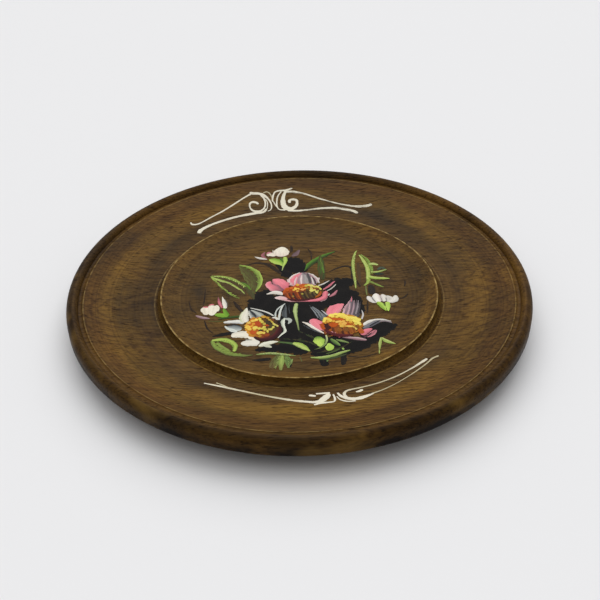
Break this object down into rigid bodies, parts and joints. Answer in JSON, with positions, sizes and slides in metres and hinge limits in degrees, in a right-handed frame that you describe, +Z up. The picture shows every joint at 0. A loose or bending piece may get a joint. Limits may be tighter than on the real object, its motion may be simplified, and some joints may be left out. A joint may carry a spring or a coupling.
{
  "type": "painted wooden plate",
  "caption": "Round lathe-turned wooden plate with a raised ring round a shallow well, a wide hollow rim and a rounded lip, painted with a flower bouquet and scrolls.",
  "frame": {"origin": "centre of the flat foot, on the surface that the plate stands on", "axes": "+Z up out of the well, +Y towards the top of the painting, where the larger scroll is, +X to the painting's right"},
  "size_m": [0.25, 0.25, 0.02],
  "materials": {
    "wood": "satin lacquered dark hardwood, turned",
    "scroll_white": "hand-brushed cream paint, satin",
    "black_paint": "hand-brushed black paint, satin",
    "pink_paint": "hand-brushed pink paint streaked with white and grey, satin",
    "white_paint": "hand-brushed white paint streaked with grey, satin",
    "gold_paint": "dabbed yellow, orange and red-brown paint, satin",
    "lime_paint": "hand-brushed yellow-green paint, satin",
    "green_paint": "hand-brushed dark green paint, satin",
    "olive_paint": "thin olive green paint, satin",
    "twig_paint": "thin brown-black paint, satin"
  },
  "bodies": {
    "root": {"turned_plate": "wood", "black_ground": "black_paint", "far_scroll_left": "scroll_white", "far_scroll_right": "scroll_white", "near_scroll_left": "scroll_white", "near_scroll_right": "scroll_white", "upper_flower_petals": "pink_paint", "upper_flower_centre": "gold_paint", "white_flower_petals": "white_paint", "white_flower_centre": "gold_paint", "lower_flower_petals": "pink_paint", "lower_flower_centre": "gold_paint", "top_bud_petals": "white_paint", "top_bud_calyx": "lime_paint", "left_bud_petals": "white_paint", "left_bud_calyx": "lime_paint", "right_bud_petals": "white_paint", "right_bud_calyx": "lime_paint", "left_leaves": "lime_paint", "blade_leaves": "green_paint", "tall_leaf": "lime_paint", "comb_leaf": "lime_paint", "curled_leaf": "lime_paint", "skirt_leaves": "olive_paint", "heart_leaves": "lime_paint", "sprig_leaves": "lime_paint", "centre_stem": "lime_paint", "dark_twigs": "twig_paint"}
  },
  "joints": []
}
